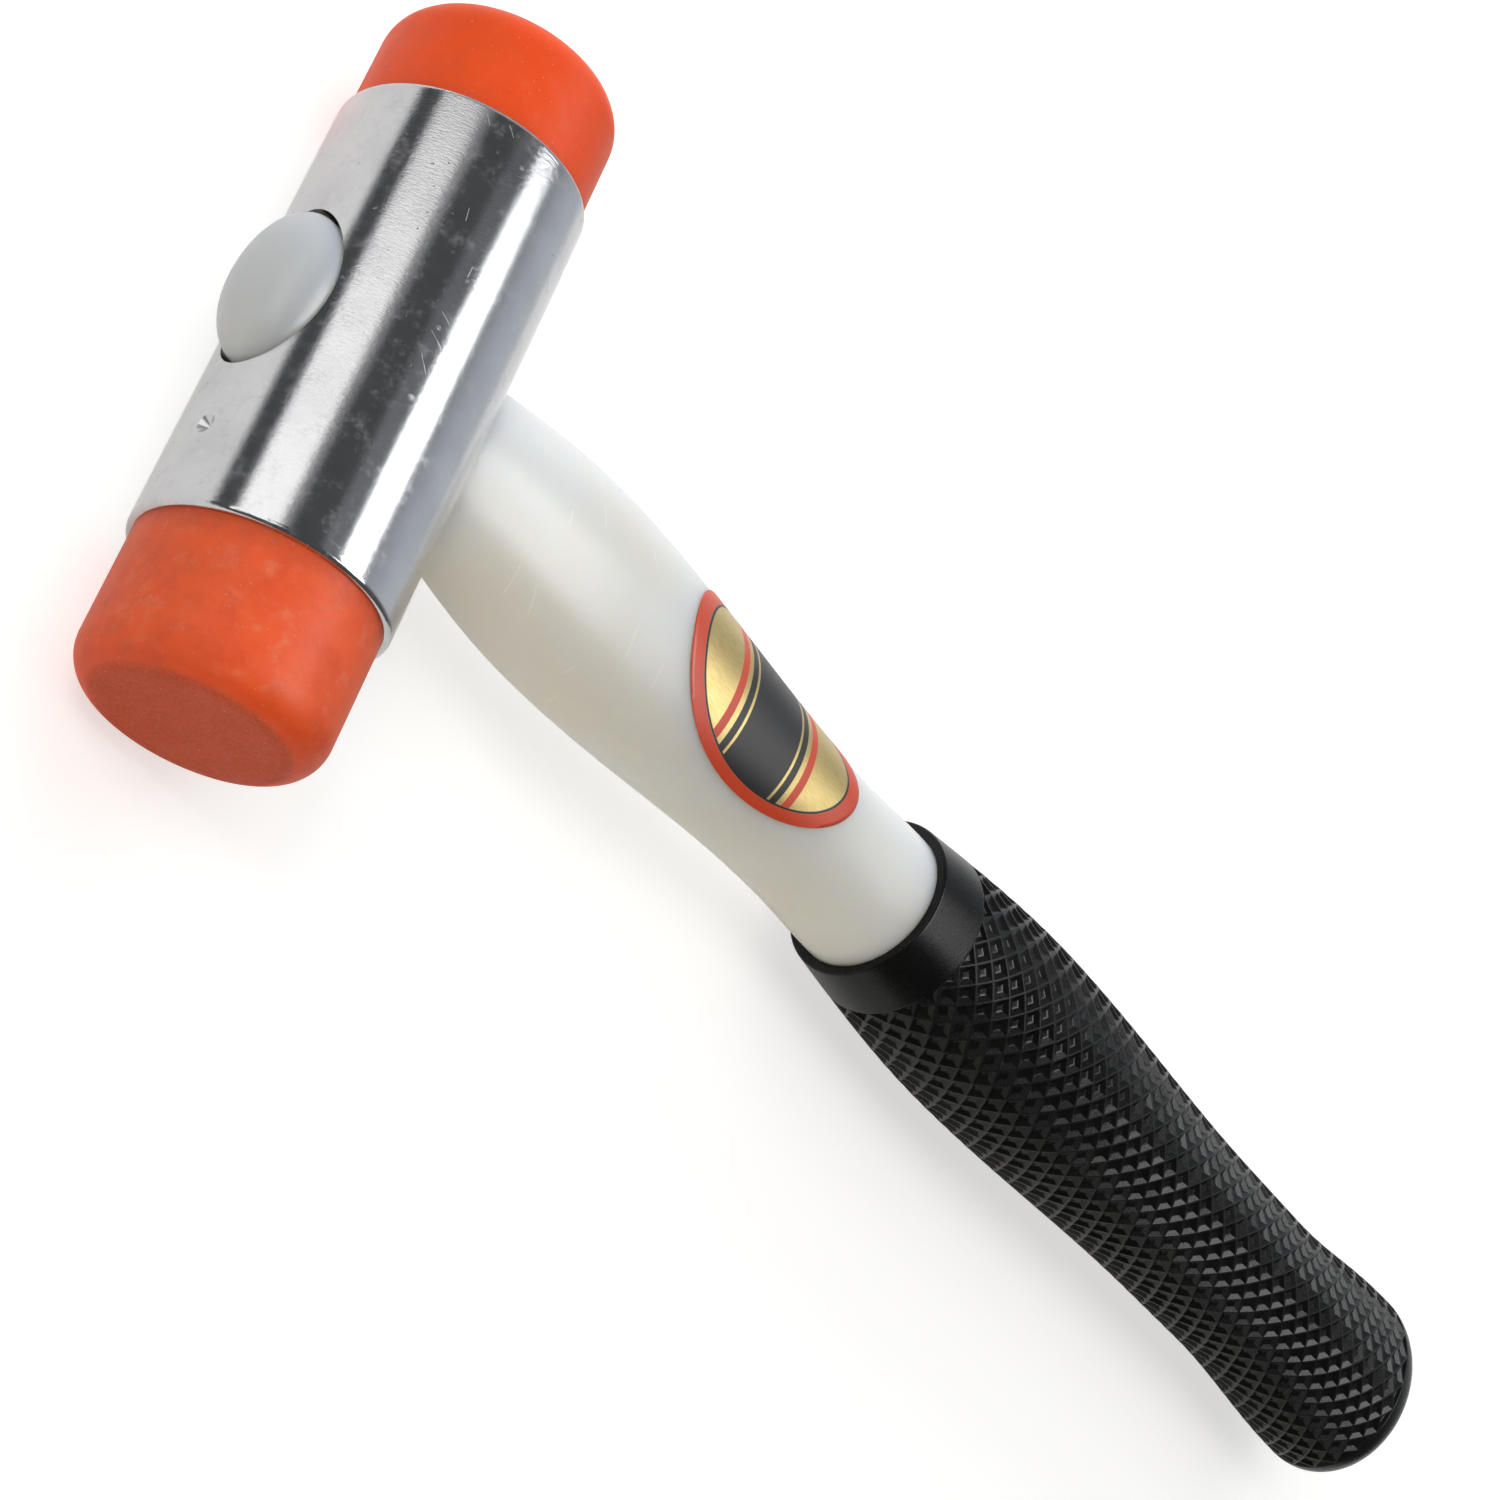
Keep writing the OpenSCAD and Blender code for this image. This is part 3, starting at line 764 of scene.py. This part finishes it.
worldSet = {"tint": (0.88, 0.93, 1.0), "dim": 0.05, "back": 0.5, "butt": 0.66, "mirrored": 0.05,
            "backY": (0.6, 0.95), "buttX": (0.25, 0.95), "buttY": (-0.3, 0.6)}  # ways to back and butt


def makeWorld():
    look = worldSet
    world = bpy.data.worlds.new("studio")
    bpy.context.scene.world = world
    world.use_nodes = True
    tree = world.node_tree
    tree.nodes.clear()
    start = Wire(tree)
    coords = start.node("ShaderNodeTexCoord", out="Generated")
    way = start.node("ShaderNodeSeparateXYZ", None, {0: coords})
    toBack = way.other(1).ramp(*look["backY"])
    toButt = way.ramp(*look["buttX"]) * way.other(1).ramp(*look["buttY"])
    level = look["dim"] + look["back"] * toBack + look["butt"] * toButt
    room = start.node("ShaderNodeBackground", None, {"Color": asColour(look["tint"]), "Strength": level})
    white = start.node("ShaderNodeBackground", None, {"Color": (1, 1, 1, 1), "Strength": 1.0})
    both = start.node("ShaderNodeMixShader", None, {0: seenShare(start, look["mirrored"]), 1: room, 2: white})
    output = tree.nodes.new("ShaderNodeOutputWorld")
    tree.links.new(both.socket, output.inputs["Surface"])


softboxSet = {
    "distance": 1.3, "aim": (60, 0, 0),  # metres off, and the place that they face in mm from the head
    "shine": (  # cards that only show in the shine: name, way, span in degrees, level and tint
        ("windowPanel", (-0.875, 0.07, 0.485), (34, 58), 1.16, (1.0, 0.99, 0.97)),
        ("windowFade", (-0.843, 0.10, 0.537), (41, 70), 0.25, (1.0, 0.99, 0.97)),
        ("topPanel", (0.395, 0.14, 0.906), (17, 46), 9.0, (0.98, 0.99, 1.0)),
        ("topFade", (0.41, 0.14, 0.906), (25, 52), 0.7, (0.98, 0.99, 1.0)),
        ("topGlow", (0.10, 0.14, 0.985), (26, 54), 0.13, (0.92, 0.96, 1.0)),
        ("ridgePanel", (0.30, -0.24, 0.92), (26, 20), 2.5, (0.98, 0.99, 1.0))),
    "mats": (  # lamps for the mat surfaces, kept out of the shine
        ("keyPanel", (-0.75, 0.0, 0.66), (16, 16), 9.5, (1.0, 0.99, 0.97)),
        ("skyPanel", (-0.25, 0.20, 0.947), (60, 60), 1.25, (0.99, 0.99, 1.0)),
        ("backPanel", (0.0, 0.94, 0.34), (70, 42), 2.1, (0.96, 0.98, 1.0)),
        ("frontPanel", (-0.25, -0.94, 0.22), (60, 40), 1.6, (1.0, 0.87, 0.62)))}


def addSoftbox(inShine, name, way, span, level, tint):
    distance = softboxSet["distance"]
    back = Vector(way).normalized()
    atEnd = abs(back.y) > 0.5  # beyond an end of the head, where its upper edge lies level
    across = Vector((-back.y, back.x, 0)) if atEnd else Vector((back.z, 0, -back.x))
    across.normalize()
    axes = Matrix((across, back.cross(across), back)).transposed()
    lamp = bpy.data.lights.new(name, "AREA")
    lamp.shape = "RECTANGLE"
    lamp.size, lamp.size_y = (2 * distance * math.tan(math.radians(d) / 2) for d in span)
    lamp.energy = level * math.pi * lamp.size * lamp.size_y
    lamp.color = tint
    holder = addObject(name, lamp)
    holder.matrix_world = Matrix.Translation(at(*softboxSet["aim"]) + back * distance) @ axes.to_4x4()
    holder.visible_camera = False
    holder.visible_diffuse = not inShine
    holder.visible_glossy = inShine


cameraSet = {"place": (-215.1, -200.8, 292.3), "right": (0.5265, 0.3362, 0.7809),
             "up": (-0.55, 0.8351, 0.0113), "back": (-0.6483, -0.4355, 0.6246),
             "lens": 80.26, "sensor": 36.0, "clip": (0.01, 20)}


def addCamera():
    view = bpy.data.cameras.new("camera")
    view.lens, view.sensor_width, view.sensor_fit = cameraSet["lens"], cameraSet["sensor"], "HORIZONTAL"
    view.clip_start, view.clip_end = cameraSet["clip"]
    holder = addObject("camera", view)
    axes = Matrix([cameraSet[key] for key in ("right", "up", "back")]).transposed()
    holder.matrix_world = Matrix.Translation(at(*cameraSet["place"])) @ axes.to_4x4()
    bpy.context.scene.camera = holder


makeFloor()
makeWorld()
for kind in ("shine", "mats"):
    for panel in softboxSet[kind]:
        addSoftbox(kind == "shine", *panel)
addCamera()
bpy.context.scene.view_settings.view_transform = "Standard"
print("floor, light and camera done")
